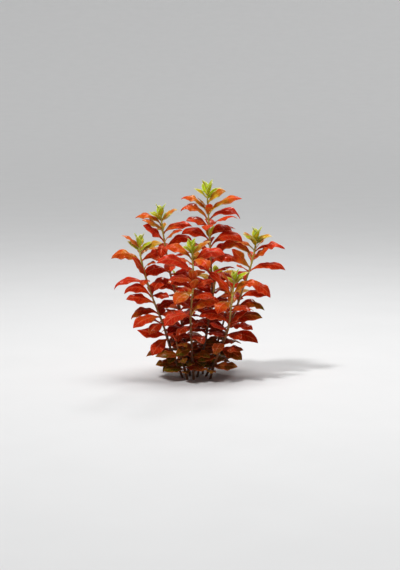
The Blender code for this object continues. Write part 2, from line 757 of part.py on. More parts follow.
def main():
    """Build the stems, hang every leaf clear of its neighbours and join the small ones to their stems."""
    clear_scene()
    draw = random.Random(FILLING_SEED)
    offsets = hang_offsets()
    stems = {shoot.name: stem_mesh(shoot.route) for shoot in SHOOTS}
    stem_trees = {name: tree_of(mesh) for name, mesh in stems.items()}
    placed = {shoot.name: [] for shoot in SHOOTS}
    young = {shoot.name: [] for shoot in SHOOTS}
    inner = {shoot.name: [] for shoot in SHOOTS}
    own = []

    def others_of(shoot):
        trees = [tree for name, tree in stem_trees.items() if name != shoot.name]
        return trees + [tree for trees_of_shoot in placed.values() for tree in trees_of_shoot]

    def hang_small(shoot, blade, tried):
        hung = hang_clear(shoot, blade, False, stem_trees[shoot.name], others_of(shoot), tried)
        if hung is not None:
            mesh, facet = hung
            placed[shoot.name].append(tree_of(mesh))
            inner[shoot.name].append((*mesh, facet))

    for shoot in SHOOTS:
        crown = crown_blades(shoot)
        for blade in crown[-UPRIGHT_LEAVES:]:
            mesh = blade_mesh(blade, stalk_start(shoot, blade, False), YOUNG_OUTLINE)
            young[shoot.name].append(mesh)
            placed[shoot.name].append(tree_of(mesh))
        for blade in crown[:-UPRIGHT_LEAVES]:
            hang_small(shoot, blade, offsets)
    for shoot in SHOOTS:
        number = 0
        for blade in shoot.blades:
            if blade.length < OWN_OBJECT_LENGTH:
                hang_small(shoot, blade, offsets)
                continue
            hung = hang_clear(shoot, blade, True, stem_trees[shoot.name], others_of(shoot), offsets)
            if hung is not None:
                placed[shoot.name].append(tree_of(hung[0]))
                number += 1
                own.append((f"leaf_{shoot.name}_{number:02d}", hung[0], blade.tone))
    for shoot in SHOOTS:
        for blade in filling_blades(shoot, draw):
            hang_small(shoot, blade, offsets[:FILLING_TRIES])
    for name, mesh, tone in own:
        new_object(name, mesh, tone, LEAF_ROUGHNESS)
    for shoot in SHOOTS:
        grown = stem_mesh(shoot.route, inner[shoot.name])
        stem = new_object(f"stem_{shoot.name}", grown, "stem", STEM_ROUGHNESS)
        leaves = [
            new_object(f"young_{shoot.name}_{i}", mesh, "stem", STEM_ROUGHNESS)
            for i, mesh in enumerate(young[shoot.name])
        ]
        grow_together(stem, leaves)


main()
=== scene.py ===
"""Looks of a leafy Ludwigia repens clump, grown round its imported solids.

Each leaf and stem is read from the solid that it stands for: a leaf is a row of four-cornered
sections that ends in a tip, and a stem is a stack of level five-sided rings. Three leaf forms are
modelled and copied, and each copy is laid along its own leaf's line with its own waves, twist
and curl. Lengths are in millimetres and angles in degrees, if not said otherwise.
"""

import json
import logging
import math
from dataclasses import dataclass, field
from enum import Enum
from typing import Callable

import bmesh
import bpy
import numpy as np
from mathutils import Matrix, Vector


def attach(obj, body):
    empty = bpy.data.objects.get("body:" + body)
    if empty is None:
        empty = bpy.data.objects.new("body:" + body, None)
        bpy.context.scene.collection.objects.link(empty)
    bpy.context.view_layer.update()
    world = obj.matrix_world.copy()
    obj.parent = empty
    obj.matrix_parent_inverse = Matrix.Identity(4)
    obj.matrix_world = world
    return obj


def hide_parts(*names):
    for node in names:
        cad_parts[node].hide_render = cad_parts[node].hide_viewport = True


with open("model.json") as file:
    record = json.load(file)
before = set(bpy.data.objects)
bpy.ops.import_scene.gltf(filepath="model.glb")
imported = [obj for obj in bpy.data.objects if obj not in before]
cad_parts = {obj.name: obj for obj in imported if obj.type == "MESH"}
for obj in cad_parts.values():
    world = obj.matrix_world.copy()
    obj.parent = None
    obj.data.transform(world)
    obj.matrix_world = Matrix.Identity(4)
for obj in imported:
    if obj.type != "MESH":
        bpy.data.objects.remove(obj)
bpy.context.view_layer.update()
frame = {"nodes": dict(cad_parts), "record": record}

log = logging.getLogger("ludwigia")

Tree = bpy.types.NodeTree
Socket = bpy.types.NodeSocket
Inputs = dict[int | str, Socket | float | tuple]

# Colours by ripeness, from 0 for the youngest tissue to 1 for the oldest
Ripening = tuple[tuple[float, str], ...]

MM = 0.001

# The solids' stems: level rings of five corners at even heights, thinner towards the tip
STEM_SIDES = 5
RING_SPACING = 17.0
FOOT_RADIUS = 1.35
TIP_RADIUS = 0.8
BUD_HEIGHT = 2.0

# Corners within this of a ring's height are on it, and guesses of its middle within this agree
SAME_LEVEL = 0.01
SAME_MIDDLE = 0.03

# Corners closer than this, in metres, are one
WELD = 0.00001

# All edges of a leaf's tip leave it within a cone of this half-angle's cosine
TIP_SHARPNESS = 0.6

# A leaf's last section lies at least this far from its tip
LEAST_TIP_LENGTH = 1.5

# A section's corners, its greatest thickness in the middle, and the lift below which it is flat
SECTION_CORNERS = 4
MOST_THICKNESS = 1.3
FLAT_LIFT = 0.02

# A leaf's line is read at this many steps, and its direction over this share of its length to
# either side, twice that on the way back from its last part
LINE_STEPS = 60
DIRECTION_SHARE = 0.02
LAST_PART = 0.97

# Where along a leaf its bends set in or are full, as shares of its length
TWIST_START = 0.3
FOLD_START = 0.12
FOLD_REACH = 0.3
WAVE_REACH = 0.35
CURL_START = 0.72

# Waves and ruffles grow towards the rim by these powers, and by these angles, in radians, the left
# half of a leaf is ahead and the right half behind
WAVE_POWER = 1.6
RUFFLE_POWER = 3
WAVE_LEAD = 0.9
RUFFLE_LEAD = 1.3

# The turn of a leaf's ruffles is that of its waves times this
RUFFLE_TURN = 1.7

# A whole turn in radians, for where a leaf's waves start
WHOLE_TURN = 6.28

# Inner leaves narrower than this to either side have smaller waves
FULL_WAVE_WIDTH = 5.0

# Vectors shorter than this have no direction
LEAST_VECTOR = 1e-9


class Slot(Enum):
    """The record's material slots."""

    RED = "leaf_red"
    PINK = "leaf_pink_red"
    DEEP = "leaf_deep_red"
    ORANGE = "leaf_orange"
    TAN = "leaf_tan"
    BROWN = "leaf_brown"
    STEM = "stem_and_inner_leaves"


class LeafKind(Enum):
    """The leaf forms that are modelled once and copied."""

    GROWN = "grown"
    INNER = "inner"
    YOUNG = "young"


class YoungPart(Enum):
    """Where a shoot has young leaves: in the rosette round its tip, or in the axils below."""

    CROWN = "crown"
    AXILS = "axil_leaves"


def linear(code: str) -> tuple[float, float, float, float]:
    """Turn an sRGB hex value into a linear colour.

    Args:
        code: six hex digits after a hash sign.

    Returns:
        Linear red, green, blue and an alpha of 1.
    """
    shares = [int(code[i : i + 2], 16) / 255 for i in (1, 3, 5)]
    return (*(s / 12.92 if s <= 0.04045 else ((s + 0.055) / 1.055) ** 2.4 for s in shares), 1.0)


def add_node(tree: Tree, kind: str, inputs: Inputs | None = None, **settings: str | bool) -> bpy.types.Node:
    """Add a shader node with its settings, values and links.

    Args:
        tree: the material's node tree.
        kind: the node's type without its "ShaderNode" start.
        inputs: for an input's name or number, the socket that feeds it or the value that it keeps.
        settings: the node's own properties.

    Returns:
        The new node.
    """
    node = tree.nodes.new("ShaderNode" + kind)
    for name, value in settings.items():
        setattr(node, name, value)
    for key, value in (inputs or {}).items():
        if isinstance(value, Socket):
            tree.links.new(value, node.inputs[key])
        else:
            node.inputs[key].default_value = value
    return node


def ripened(
    tree: Tree, place: Socket, patch_size: float, drift: float, ripening: Ripening
) -> tuple[Socket, Socket]:
    """Colour a surface by the ripeness stored on it, a little riper or younger in soft patches.

    Args:
        tree: the material's node tree.
        place: the Object coordinates.
        patch_size: width of a patch in millimetres.
        drift: most change of ripeness in a patch.
        ripening: the colours by ripeness.

    Returns:
        The ripeness with its patches, and its colour.
    """
    ripeness = add_node(tree, "Attribute", attribute_name="ripeness").outputs["Fac"]
    patches = add_node(tree, "TexNoise", {"Vector": place, "Scale": 1 / (patch_size * MM), "Detail": 2.0})
    change = add_node(tree, "MapRange", {0: patches.outputs[0], 1: 0.3, 2: 0.7, 3: -drift, 4: drift})
    age = add_node(tree, "Math", {0: ripeness, 1: change.outputs[0]}, operation="ADD", use_clamp=True)
    ramp = add_node(tree, "ValToRGB", {0: age.outputs[0]})
    stops = ramp.color_ramp.elements
    first, *between, last = ripening
    for stop, (position, code) in ((stops[0], first), (stops[1], last)):
        stop.position, stop.color = position, linear(code)
    for position, code in between:
        stops.new(position).color = linear(code)
    return age.outputs[0], ramp.outputs[0]


def deselect_all() -> None:
    """Leave nothing selected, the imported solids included."""
    bpy.ops.object.select_all(action="DESELECT")


def pick(thing: bpy.types.Object, test: Callable[[Vector], bool]) -> None:
    """Select the points of the edited mesh that pass a test of their place.

    Args:
        thing: the object in edit mode.
        test: says of a point's place whether it is picked.
    """
    mesh = bmesh.from_edit_mesh(thing.data)
    for point in mesh.verts:
        point.select_set(test(point.co))
    mesh.select_flush_mode()
    bmesh.update_edit_mesh(thing.data)


def face_outwards(thing: bpy.types.Object) -> None:
    """Turn every face of a closed mesh outwards.

    Args:
        thing: the mesh's object.
    """
    mesh = bmesh.new()
    mesh.from_mesh(thing.data)
    bmesh.ops.recalc_face_normals(mesh, faces=mesh.faces)
    mesh.to_mesh(thing.data)
    mesh.free()


def joined(things: list[bpy.types.Object], name: str) -> bpy.types.Object:
    """Join several objects into one.

    Args:
        things: the objects, which all end in the first.
        name: the joined object's name.

    Returns:
        The joined object.
    """
    deselect_all()
    for thing in things:
        thing.select_set(True)
    bpy.context.view_layer.objects.active = things[0]
    bpy.ops.object.join()
    things[0].name = name
    things[0].data.name = name
    return things[0]


def unit(vectors: np.ndarray) -> np.ndarray:
    """Scale vectors to length 1, along the last axis."""
    return vectors / np.maximum(np.linalg.norm(vectors, axis=-1, keepdims=True), LEAST_VECTOR)


def distances(points: np.ndarray) -> np.ndarray:
    """Distance of each point of a line from its start, along the line."""
    return np.concatenate([[0.0], np.cumsum(np.linalg.norm(np.diff(points, axis=0), axis=1))])


def read_curve(stations: np.ndarray, values: np.ndarray, slopes: np.ndarray, where: np.ndarray) -> np.ndarray:
    """Read a smooth curve that has given values and slopes at its stations.

    Args:
        stations: where the values stand, in rising order.
        values: one row for each station.
        slopes: how fast each value changes there.
        where: the places to read.

    Returns:
        One row for each place.
    """
    span = np.clip(np.searchsorted(stations, where, side="right") - 1, 0, len(stations) - 2)
    width = (stations[span + 1] - stations[span])[:, None]
    t = (where - stations[span])[:, None] / width
    return (
        (2 * t**3 - 3 * t**2 + 1) * values[span]
        + (t**3 - 2 * t**2 + t) * width * slopes[span]
        + (3 * t**2 - 2 * t**3) * values[span + 1]
        + (t**3 - t**2) * width * slopes[span + 1]
    )


def smooth_line(points: np.ndarray, shares: np.ndarray) -> np.ndarray:
    """Read a smooth line through a few points.

    Args:
        points: the points that it runs through.
        shares: where to read it, as shares of its length; those below 0 run straight on backwards.

    Returns:
        One point for each share.
    """
    stations = distances(points)
    slopes = np.gradient(points, stations, axis=0, edge_order=2)
    curve = read_curve(stations, points, slopes, np.linspace(0.0, stations[-1], LINE_STEPS))
    lengths = distances(curve)
    wanted = np.clip(shares, 0.0, 1.0) * lengths[-1]
    read = np.stack([np.interp(wanted, lengths, curve[:, axis]) for axis in range(3)], axis=1)
    return read + np.minimum(shares, 0.0)[:, None] * lengths[-1] * unit(curve[1] - curve[0])


@dataclass
class LeafLine:
    """Where one leaf of the solids runs: its sections from the stalk to the tip."""

    centres: np.ndarray
    ups: np.ndarray
    half_width: float

    @property
    def length(self) -> float:
        """Length of the leaf from its foot to its tip."""
        return float(distances(self.centres)[-1])

    @property
    def height(self) -> float:
        """Height of the leaf's foot."""
        return float(self.centres[0][2])

    @property
    def tip_length(self) -> float:
        """Length of the leaf's pointed end."""
        return float(np.linalg.norm(self.centres[-1] - self.centres[-2]))

    def frames(self, shares: np.ndarray) -> tuple[np.ndarray, np.ndarray, np.ndarray]:
        """Read the line and its upward and sideways directions.

        Args:
            shares: where to read, as shares of the leaf's length.

        Returns:
            Points, directions across the leaf and directions up from its upper side.
        """
        points = smooth_line(self.centres, shares)
        ahead = smooth_line(self.centres, np.clip(shares + DIRECTION_SHARE, 0.0, 1.0))
        behind = smooth_line(self.centres, shares - DIRECTION_SHARE * (1 + (shares > LAST_PART)))
        along = unit(ahead - behind)
        stations = distances(self.centres) / self.length
        up = np.stack([np.interp(shares, stations, self.ups[:, axis]) for axis in range(3)], axis=1)
        across = unit(np.cross(up, along))
        return points, across, unit(np.cross(along, across))


def split_section(corners: np.ndarray) -> tuple[list[int], list[int], float]:
    """Tell a section's two rim corners, which are farthest apart, from its two middle ones.

    Args:
        corners: the section's four corners.

    Returns:
        The rim corners' numbers, the middle corners' numbers and the section's width.
    """
    gaps = np.linalg.norm(corners[:, None] - corners[None], axis=2)
    rims = [int(i) for i in np.unravel_index(gaps.argmax(), gaps.shape)]
    return rims, [i for i in range(SECTION_CORNERS) if i not in rims], float(gaps.max())


class SolidReader:
    """Reads the leaves and the stem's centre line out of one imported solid."""

    def __init__(self, node: bpy.types.Object) -> None:
        """Weld a copy of the solid's loose triangles.

        Args:
            node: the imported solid's object.
        """
        mesh = bmesh.new()
        mesh.from_mesh(node.data)
        bmesh.ops.remove_doubles(mesh, verts=mesh.verts, dist=WELD)
        self.points = np.array([point.co[:] for point in mesh.verts]) / MM
        mesh.verts.index_update()
        self.near = [{edge.other_vert(point).index for edge in point.link_edges} for point in mesh.verts]
        mesh.free()

    def pointed(self, corner: int) -> bool:
        """Say whether all edges leave a corner within one narrow cone, as at a leaf's tip."""
        edges = unit(self.points[sorted(self.near[corner])] - self.points[corner])
        return len(edges) > 3 and bool((edges @ unit(edges.mean(axis=0))).min() > TIP_SHARPNESS)

    def leaves(self, sections: int) -> list[LeafLine]:
        """Find every leaf by its tip, a pointed corner that one four-cornered section surrounds.

        Args:
            sections: how many sections each leaf has before it meets its stem or ends.

        Returns:
            The leaves' lines, from the lowest leaf to the highest.
        """
        found = []
        for tip in range(len(self.points)):
            if not self.pointed(tip):
                continue
            groups, used, reached, centre = [], {tip}, set(self.near[tip]), self.points[tip]
            while len(groups) <= sections:
                free = sorted(reached - used)
                free.sort(key=lambda i: np.linalg.norm(self.points[i] - centre))
                group = free[:SECTION_CORNERS]
                groups.append(group)
                used.update(group)
                centre = self.points[group].mean(axis=0) if group else centre
                reached = reached.union(*(self.near[i] for i in group))
            *groups, foot = groups
            if all(self.is_section(group) for group in groups):
                found.append(self.line(groups, self.points[tip], self.points[foot]))
        found = [line for line in found if line.tip_length > LEAST_TIP_LENGTH]
        return sorted(found, key=lambda line: line.height)

    def is_section(self, group: list[int]) -> bool:
        """Say whether some corners are a thin section across a leaf.

        Args:
            group: the corners' numbers.

        Returns:
            True for four corners that are thin in the middle.
        """
        if len(group) < SECTION_CORNERS:
            return False
        corners = self.points[group]
        _, (low, high), _ = split_section(corners)
        return bool(np.linalg.norm(corners[low] - corners[high]) < MOST_THICKNESS)

    def line(self, groups: list[list[int]], tip: np.ndarray, foot: np.ndarray) -> LeafLine:
        """Turn a leaf's sections into its line.

        Args:
            groups: the sections' corners, from the tip down.
            tip: the tip's place.
            foot: the places where the leaf meets its stem, if it does.

        Returns:
            The leaf's line from the stalk to the tip.
        """
        centres, ups, widths = [tip], [], []
        for group in groups:
            corners = self.points[group]
            rims, middles, width = split_section(corners)
            centre = corners[middles].mean(axis=0)
            lift = centre - corners[rims].mean(axis=0)
            normal = corners[middles[0]] - corners[middles[1]]
            if np.linalg.norm(lift) < FLAT_LIFT and ups:
                lift = ups[-1]
            centres.append(centre)
            ups.append(unit(normal * np.sign(normal @ lift)))
            widths.append(width / 2)
        if len(foot):
            centres.append(foot.mean(axis=0))
            ups.append(ups[-1])
        ups.insert(0, ups[0])
        return LeafLine(np.array(centres[::-1]), np.array(ups[::-1]), max(widths))

    def stem_line(self, top: float) -> np.ndarray:
        """Find the middles of the stem's level rings.

        Args:
            top: height of the stem's last full ring.

        Returns:
            The rings' middles from the foot up, with the bud's place last.
        """
        count = max(3, round(top / RING_SPACING))
        turns = 2 * np.pi * np.arange(STEM_SIDES) / STEM_SIDES
        spokes = np.stack([np.cos(turns), np.sin(turns), 0 * turns], axis=1)
        middles = []
        for ring in range(count + 1):
            height = top * ring / count
            radius = FOOT_RADIUS + (TIP_RADIUS - FOOT_RADIUS) * ring / count
            corners = self.points[np.abs(self.points[:, 2] - height) < SAME_LEVEL]
            guesses = (corners[:, None] - radius * spokes[None]).reshape(-1, 3)
            votes = (np.linalg.norm(guesses[:, None] - guesses[None], axis=2) < SAME_MIDDLE).sum(axis=1)
            if len(votes) and votes.max() > 1:
                middles.append(guesses[votes.argmax()])
        lean = (middles[-1] - middles[-2]) / (middles[-1] - middles[-2])[2]
        return np.array([*middles, middles[-1] + lean * BUD_HEIGHT])


@dataclass
class LeafForm:
    """One leaf modelled flat: its length is 1 along x, its full width 1 along y, its height in mm.

    The outline gives the width at shares of the length. The stalk thins out over its own share, the
    rim is a share of the thickness, and the groove and the rib run along the middle.
    """

    name: str
    rows: int
    columns: int
    outline: tuple[tuple[float, float], ...]
    blade_thickness: float = 0.34
    stalk_thickness: float = 1.15
    stalk_share: float = 0.26
    rim_share: float = 0.45
    groove_depth: float = 0.10
    rib_height: float = 0.26
    groove_start: float = 0.08
    groove_end: float = 0.95
    groove_fade: float = 0.7

    # A point is in a row within this share of the rows' spacing, on the rim within this width of
    # it, and in the middle within this width; points closer than the last are one
    row_reach: float = 0.2
    rim_reach: float = 0.0005
    middle_reach: float = 0.001
    weld: float = 0.00001

    def width_at(self, share: float) -> float:
        """Read the outline's width on a smooth curve.

        Args:
            share: where to read, as a share of the length.

        Returns:
            The width as a share of the full width.
        """
        shares, widths = np.array(self.outline).T
        slopes = np.gradient(widths, shares)
        return float(read_curve(shares, widths[:, None], slopes[:, None], np.array([share]))[0, 0])

    def model(self) -> bpy.types.Object:
        """Model the form from a grid: outline, thickness, stalk, thin rim, groove and rib.

        Returns:
            The flat leaf's object.
        """
        deselect_all()
        bpy.ops.mesh.primitive_grid_add(
            x_subdivisions=self.rows, y_subdivisions=self.columns, size=1.0, location=(0.5, 0.0, 0.0)
        )
        form = bpy.context.object
        form.name = self.name
        bpy.ops.object.transform_apply(location=True, rotation=True, scale=True)
        bpy.ops.object.mode_set(mode="EDIT")
        near = self.row_reach / self.rows
        for row in range(self.rows + 1):
            share = row / self.rows
            width = max(self.width_at(share), 0.0) if row < self.rows else 0.0
            pick(form, lambda p: abs(p.x - share) < near)
            bpy.ops.transform.resize(value=(1.0, width, 1.0), center_override=(share, 0.0, 0.0))
        bpy.ops.mesh.select_all(action="SELECT")
        bpy.ops.mesh.remove_doubles(threshold=self.weld)
        bpy.ops.object.mode_set(mode="OBJECT")
        wall = form.modifiers.new("thickness", "SOLIDIFY")
        wall.thickness = self.blade_thickness
        wall.offset = 0.0
        bpy.ops.object.modifier_apply(modifier=wall.name)
        bpy.ops.object.mode_set(mode="EDIT")
        for row in range(self.rows + 1):
            self.shape_row(form, row / self.rows, near)
        bpy.ops.object.mode_set(mode="OBJECT")
        bpy.ops.object.shade_smooth()
        return form

    def shape_row(self, form: bpy.types.Object, share: float, near: float) -> None:
        """Thicken one row of the wall at the stalk, thin its rim and sink its groove and rib.

        Args:
            form: the form in edit mode.
            share: the row's place as a share of the length.
            near: how far from that place a point of the row may be.
        """
        stalk = max(0.0, 1.0 - share / self.stalk_share)
        thick = 1.0 + (self.stalk_thickness / self.blade_thickness - 1.0) * stalk
        edge = self.width_at(share) / 2 - self.rim_reach
        pick(form, lambda p: abs(p.x - share) < near)
        bpy.ops.transform.resize(value=(1.0, 1.0, thick), center_override=(share, 0.0, 0.0))
        pick(form, lambda p: abs(p.x - share) < near and abs(p.y) > edge)
        bpy.ops.transform.resize(value=(1.0, 1.0, self.rim_share), center_override=(share, 0.0, 0.0))
        if not self.groove_start < share < self.groove_end:
            return
        for side, depth in ((1, self.groove_depth), (-1, self.rib_height)):
            pick(form, lambda p: abs(p.x - share) < near and abs(p.y) < self.middle_reach and p.z * side > 0)
            drop = -depth * (1.0 - self.groove_fade * share)
            bpy.ops.transform.translate(value=(0.0, 0.0, drop))


@dataclass(frozen=True)
class Habit:
    """How one leaf hangs apart from its line, and how it is coloured.

    Waves, ruffles, curl and sway are in millimetres, the counts are for the whole leaf, and the
    wave's turn is in radians. Ripeness, pinkness and shade run from 0 to 1.
    """

    wave: float
    wave_count: float
    wave_turn: float
    fold: float
    curl: float
    widening: float
    ripe_at_stalk: float
    ripe_at_tip: float
    ruffle: float = 0.0
    ruffle_count: float = 5.0
    twist: float = 0.0
    sway: float = 0.0
    pink: float = 0.0
    shade: float = 0.0


def lay_leaf(
    form: bpy.types.Object, line: LeafLine, habit: Habit, name: str, sunk: float
) -> bpy.types.Object:
    """Copy a leaf form and lay it along a leaf's line.

    Args:
        form: the flat leaf.
        line: where the leaf runs.
        habit: its waves, twist, curl and tones.
        name: the new object's name.
        sunk: how far the stalk runs on into the stem.

    Returns:
        The laid leaf, with its tones in its mesh's attributes.
    """
    deselect_all()
    leaf = form.copy()
    leaf.data = form.data.copy()
    leaf.name = name
    bpy.context.scene.collection.objects.link(leaf)
    flat = np.empty(len(leaf.data.vertices) * 3)
    leaf.data.vertices.foreach_get("co", flat)
    x, y, z = flat.reshape(-1, 3).T
    reach = sunk / line.length
    shares = x * (1.0 + reach) - reach
    points, across, up = line.frames(shares)
    turn = np.radians(habit.twist) * np.clip((x - TWIST_START) / (1.0 - TWIST_START), 0.0, 1.0)
    cos, sin = np.cos(turn)[:, None], np.sin(turn)[:, None]
    across, up = across * cos + up * sin, up * cos - across * sin
    fold = np.radians(habit.fold) * np.clip((x - FOLD_START) / FOLD_REACH, 0.0, 1.0)
    side = y * 2 * line.half_width * habit.widening
    half = np.where(y >= 0, 1.0, -1.0)
    edge = np.abs(2 * y)
    swing = np.sin(2 * np.pi * habit.wave_count * x + habit.wave_turn + half * WAVE_LEAD)
    flutter_turn = RUFFLE_TURN * habit.wave_turn + half * RUFFLE_LEAD
    flutter = np.sin(2 * np.pi * habit.ruffle_count * x + flutter_turn)
    waves = habit.wave * edge**WAVE_POWER * swing + habit.ruffle * edge**RUFFLE_POWER * flutter
    lift = np.abs(side) * np.sin(fold) + np.clip(x / WAVE_REACH, 0.0, 1.0) * waves
    tip = np.clip((x - CURL_START) / (1.0 - CURL_START), 0.0, 1.0) ** 2
    lift = lift + z - habit.curl * tip
    slide = side * np.cos(fold) + habit.sway * np.sin(np.pi * np.clip(shares, 0.0, 1.0))
    placed = points + across * slide[:, None] + up * lift[:, None]
    leaf.data.vertices.foreach_set("co", (placed * MM).ravel())
    tones = {
        "ripeness": habit.ripe_at_stalk + (habit.ripe_at_tip - habit.ripe_at_stalk) * x,
        "pinkness": np.full(len(x), habit.pink),
        "shade": np.full(len(x), habit.shade),
        "underside": (z < 0).astype(float),
    }
    for key, values in tones.items():
        store = leaf.data.attributes.new(key, "FLOAT", "POINT")
        store.data.foreach_set("value", values.astype(np.float32))
    face_outwards(leaf)
    return leaf


@dataclass(frozen=True)
class LeafTissue:
    """Living leaf of an aquatic plant: a soft, waxy, slightly see-through blade that was never dry.

    The wax gives a broad satin sheen with small bright crests along the waves, the thin blade lets
    some light through from behind, and the midrib and side veins show paler than the red between.
    """

    name: str
    roughness: float = 0.32
    see_through: float = 0.34
    glow_saturation: float = 1.1
    glow_value: float = 1.25
    ior: float = 1.42
    reflection: float = 0.3
    wax: float = 0.24
    wax_roughness: float = 0.10

    # From the crown's yellow-green through tan, orange and red to the olive of the oldest leaves
    ripening: Ripening = (
        (0.00, "#C0D43A"),
        (0.10, "#DCCE3E"),
        (0.24, "#DC9E36"),
        (0.38, "#DE7024"),
        (0.50, "#DC4A16"),
        (0.64, "#CA360C"),
        (0.76, "#B64410"),
        (0.87, "#A45A12"),
        (1.00, "#7C741C"),
    )
    vein_tint: str = "#F0A070"
    underside_tint: str = "#D8603A"
    pink_tint: str = "#F25048"
    # Painted highlight along each leaf's rim: cream on young leaves, pale salmon on ripe ones. The cream one
    # also paints the pale tips of young leaves
    young_pale_tip_and_rim_highlight: str = "#F4F6BC"
    ripe_rim_highlight: str = "#F48A5C"

    # Patches of tone, the cells' grain drawn as coarse as it needs to show, and the relief
    patch_size: float = 7.0
    patch_drift: float = 0.09
    grain_size: float = 0.9
    relief_depth: float = 0.2
    relief_strength: float = 0.35

    # Pairs of side veins, how far forward they reach the rim as a share of the length, by which
    # power they bend, and how far they stand out from the grain
    vein_pairs: float = 8.0
    vein_sweep: float = 0.16
    vein_bend: float = 1.3
    vein_relief: float = 0.6

    def material(self) -> bpy.types.Material:
        """Build the leaf's material.

        Returns:
            The material.
        """
        material = bpy.data.materials.new(self.name)
        material.use_nodes = True
        tree = material.node_tree
        tree.nodes.clear()
        place = add_node(tree, "TexCoord")
        leaf_place = add_node(tree, "SeparateXYZ", {0: place.outputs["UV"]})
        along, side = leaf_place.outputs[0], leaf_place.outputs[1]
        offset = add_node(tree, "Math", {0: side, 1: 0.5}, operation="SUBTRACT").outputs[0]
        half = add_node(tree, "Math", {0: offset}, operation="ABSOLUTE").outputs[0]
        edge = add_node(tree, "Math", {0: half, 1: 2.0}, operation="MULTIPLY").outputs[0]
        pinkness, shade, underside = (
            add_node(tree, "Attribute", attribute_name=name).outputs["Fac"]
            for name in ("pinkness", "shade", "underside")
        )
        whole = place.outputs["Object"]
        age, colour = ripened(tree, whole, self.patch_size, self.patch_drift, self.ripening)
        grain_scale = 1 / (self.grain_size * MM)
        grain = add_node(tree, "TexNoise", {"Vector": whole, "Scale": grain_scale, "Detail": 3.0}).outputs[0]
        veins = self.side_veins(tree, along, edge)

        # Each soft change, as a Map Range node's inputs: what it follows, from where to where, and
        # its strength at either end
        changes = {
            "midrib": (edge, 0.03, 0.13, 1.0, 0.0),
            # The rim and its strength mark where a highlight is painted along the leaf's rim, stronger on
            # young leaves
            "rim": (edge, 0.72, 0.98, 0.0, 1.0),
            "rim highlight strength": (age, 0.15, 0.45, 0.85, 0.6),
            "youth": (age, 0.15, 0.45, 1.0, 0.0),
            "young tip": (along, 0.72, 1.0, 0.0, 0.85),
            "pale underside": (age, 0.20, 0.50, 0.0, 0.30),
            "light": (shade, 0.0, 1.0, 1.0, 0.30),
            "speckle": (grain, 0.3, 0.7, 0.82, 1.12),
            "roughness": (grain, 0.2, 0.8, self.roughness - 0.08, self.roughness + 0.12),
        }
        soft = {
            name: add_node(
                tree, "MapRange", dict(enumerate(change)), interpolation_type="SMOOTHSTEP"
            ).outputs[0]
            for name, change in changes.items()
        }
        # The painted rim highlight's colour, from pale salmon on ripe leaves to cream on young ones
        rim_highlight_colours = {0: soft["youth"], 6: linear(self.ripe_rim_highlight), 7: linear(self.young_pale_tip_and_rim_highlight)}
        rim_highlight_tint = add_node(tree, "Mix", rim_highlight_colours, data_type="RGBA", clamp_factor=True).outputs[2]

        # Each tint laid over those before it: where it lies, how strong it is, and its colour. A
        # colour Mix node takes its share at input 0 and its two colours at 6 and 7
        layers = (
            (pinkness, 0.75, linear(self.pink_tint)),
            (underside, soft["pale underside"], linear(self.underside_tint)),
            (veins, 0.22, linear(self.vein_tint)),
            (soft["midrib"], 0.42, linear(self.vein_tint)),
            # A painted highlight along the rim
            (soft["rim"], soft["rim highlight strength"], rim_highlight_tint),
            (soft["youth"], soft["young tip"], linear(self.young_pale_tip_and_rim_highlight)),
        )
        for cover, strength, tint in layers:
            share = add_node(tree, "Math", {0: cover, 1: strength}, operation="MULTIPLY").outputs[0]
            layer = {0: share, 6: colour, 7: tint}
            colour = add_node(tree, "Mix", layer, data_type="RGBA", clamp_factor=True).outputs[2]
        dim = add_node(tree, "Math", {0: soft["light"], 1: soft["speckle"]}, operation="MULTIPLY").outputs[0]
        tint = add_node(tree, "HueSaturation", {"Value": dim, "Color": colour}).outputs[0]

        relief = add_node(tree, "Math", {0: veins, 1: self.vein_relief, 2: grain}, operation="MULTIPLY_ADD")
        depth = self.relief_depth * MM
        sunk = {"Height": relief.outputs[0], "Strength": self.relief_strength, "Distance": depth}
        bump = add_node(tree, "Bump", sunk, invert=True).outputs[0]
        surface = add_node(
            tree,
            "BsdfPrincipled",
            {
                "Base Color": tint,
                "Specular Tint": tint,
                "Roughness": soft["roughness"],
                "Normal": bump,
                "IOR": self.ior,
                "Specular IOR Level": self.reflection,
                "Coat Weight": self.wax,
                "Coat Roughness": self.wax_roughness,
            },
        )
        warmer = {"Color": tint, "Saturation": self.glow_saturation, "Value": self.glow_value}
        glow = add_node(tree, "HueSaturation", warmer).outputs[0]
        through = add_node(tree, "BsdfTranslucent", {"Color": glow, "Normal": bump})
        both = {0: self.see_through, 1: surface.outputs[0], 2: through.outputs[0]}
        mixed = add_node(tree, "MixShader", both)
        add_node(tree, "OutputMaterial", {0: mixed.outputs[0]})
        return material

    def side_veins(self, tree: Tree, along: Socket, edge: Socket) -> Socket:
        """Draw pairs of side veins that leave the midrib and sweep forward to the rim.

        Args:
            tree: the material's node tree.
            along: share of the leaf's length.
            edge: distance from the midrib, 1 at the rim.

        Returns:
            1 on a vein and 0 between them.
        """
        bent = add_node(tree, "Math", {0: edge, 1: self.vein_bend}, operation="POWER").outputs[0]
        swept = {0: bent, 1: -self.vein_sweep, 2: along}
        behind = add_node(tree, "Math", swept, operation="MULTIPLY_ADD").outputs[0]
        pace = self.vein_pairs * 2 * math.pi
        turns = add_node(tree, "Math", {0: behind, 1: pace}, operation="MULTIPLY").outputs[0]
        swing = add_node(tree, "Math", {0: turns}, operation="SINE").outputs[0]
        crests = {0: swing, 1: 0.72, 2: 1.0, 3: 0.0, 4: 1.0}
        return add_node(tree, "MapRange", crests, interpolation_type="SMOOTHSTEP").outputs[0]


